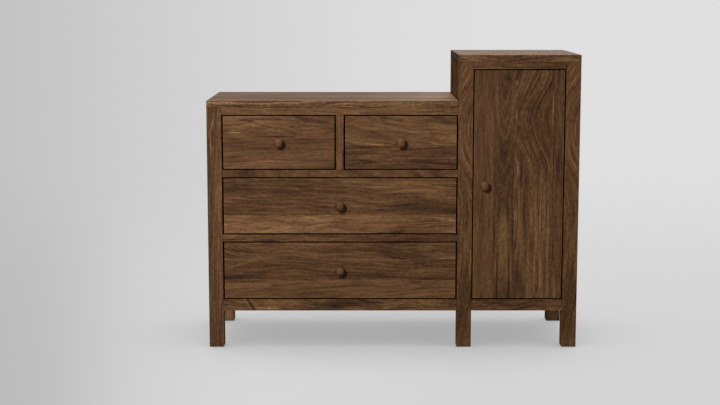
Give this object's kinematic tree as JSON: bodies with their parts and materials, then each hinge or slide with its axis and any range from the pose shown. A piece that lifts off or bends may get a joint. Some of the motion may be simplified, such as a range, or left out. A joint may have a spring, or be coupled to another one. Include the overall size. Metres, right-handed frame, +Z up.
{
  "type": "dresser tower",
  "caption": "Walnut dresser with flush drawers on full-extension slides, joined to a taller tower cupboard with a hinged door, on square legs with round turned knobs.",
  "frame": {"origin": "on the floor under the middle of the whole piece, knobs included", "axes": "+X to the right as seen from the front, +Y to the back, +Z up"},
  "size_m": [1.27, 0.486, 1.011],
  "materials": {
    "walnut": "satin oil",
    "walnut_panel": "satin oil on veneered panel",
    "maple": "clear satin",
    "zinc_steel": "zinc plated",
    "black_steel": "black electrocoat",
    "dark_plastic": "matte"
  },
  "bodies": {
    "case": {"front_left_leg": "walnut", "rear_left_leg": "walnut", "front_middle_leg": "walnut", "front_right_leg": "walnut", "rear_right_leg": "walnut", "rear_middle_post": "walnut", "leg_glides": "dark_plastic", "dresser_top": "walnut", "tower_top": "walnut", "dresser_top_rail": "walnut", "divider_rails": "walnut", "dresser_bottom_rail": "walnut", "tower_top_rail": "walnut", "tower_bottom_rail": "walnut", "rear_rails": "walnut_panel", "centre_divider": "walnut", "left_side_panel": "walnut", "partition_panel": "walnut", "right_side_panel": "walnut", "dresser_back": "walnut_panel", "tower_back": "walnut_panel", "dresser_floor": "walnut_panel", "tower_floor": "walnut_panel", "tower_shelves": "walnut_panel", "shelf_pins": "zinc_steel", "slide_case_members": "black_steel", "hinge_frame_leaves": "black_steel", "magnetic_catch": "dark_plastic"},
    "door": {"door_panel": "walnut", "door_knob": "walnut", "hinge_door_leaves": "black_steel", "catch_strike": "zinc_steel"},
    "top_left_drawer": {"top_left_drawer_front": "walnut", "top_left_drawer_sides": "maple", "top_left_drawer_back": "maple", "top_left_drawer_bottom": "maple", "top_left_drawer_knob": "walnut", "top_left_slide_drawer": "black_steel"},
    "top_left_slides": {"top_left_slide_middle": "black_steel"},
    "top_right_drawer": {"top_right_drawer_front": "walnut", "top_right_drawer_sides": "maple", "top_right_drawer_back": "maple", "top_right_drawer_bottom": "maple", "top_right_drawer_knob": "walnut", "top_right_slide_drawer": "black_steel"},
    "top_right_slides": {"top_right_slide_middle": "black_steel"},
    "middle_drawer": {"middle_drawer_front": "walnut", "middle_drawer_sides": "maple", "middle_drawer_back": "maple", "middle_drawer_bottom": "maple", "middle_drawer_knob": "walnut", "middle_slide_drawer": "black_steel"},
    "middle_slides": {"middle_slide_middle": "black_steel"},
    "low_drawer": {"low_drawer_front": "walnut", "low_drawer_sides": "maple", "low_drawer_back": "maple", "low_drawer_bottom": "maple", "low_drawer_knob": "walnut", "low_slide_drawer": "black_steel"},
    "low_slides": {"low_slide_middle": "black_steel"}
  },
  "joints": [
    {"name": "door_hinge", "type": "hinge", "parent": "case", "child": "door", "pos_m": [0.57, -0.204, 0.17], "axis": [0, 0, 1], "range_deg": [0, 110]},
    {"name": "top_left_drawer_slide", "type": "slide", "parent": "case", "child": "top_left_drawer", "axis": [0, -1, 0], "range_m": [0, 0.4]},
    {"name": "top_left_slide_extension", "type": "slide", "parent": "case", "child": "top_left_slides", "axis": [0, -1, 0], "range_m": [0, 0.2]},
    {"name": "top_right_drawer_slide", "type": "slide", "parent": "case", "child": "top_right_drawer", "axis": [0, -1, 0], "range_m": [0, 0.4]},
    {"name": "top_right_slide_extension", "type": "slide", "parent": "case", "child": "top_right_slides", "axis": [0, -1, 0], "range_m": [0, 0.2]},
    {"name": "middle_drawer_slide", "type": "slide", "parent": "case", "child": "middle_drawer", "axis": [0, -1, 0], "range_m": [0, 0.4]},
    {"name": "middle_slide_extension", "type": "slide", "parent": "case", "child": "middle_slides", "axis": [0, -1, 0], "range_m": [0, 0.2]},
    {"name": "low_drawer_slide", "type": "slide", "parent": "case", "child": "low_drawer", "axis": [0, -1, 0], "range_m": [0, 0.4]},
    {"name": "low_slide_extension", "type": "slide", "parent": "case", "child": "low_slides", "axis": [0, -1, 0], "range_m": [0, 0.2]}
  ],
  "couplings": [
    {"joint": "top_left_slide_extension", "follows": "top_left_drawer_slide", "ratio": 0.5},
    {"joint": "top_right_slide_extension", "follows": "top_right_drawer_slide", "ratio": 0.5},
    {"joint": "middle_slide_extension", "follows": "middle_drawer_slide", "ratio": 0.5},
    {"joint": "low_slide_extension", "follows": "low_drawer_slide", "ratio": 0.5}
  ]
}
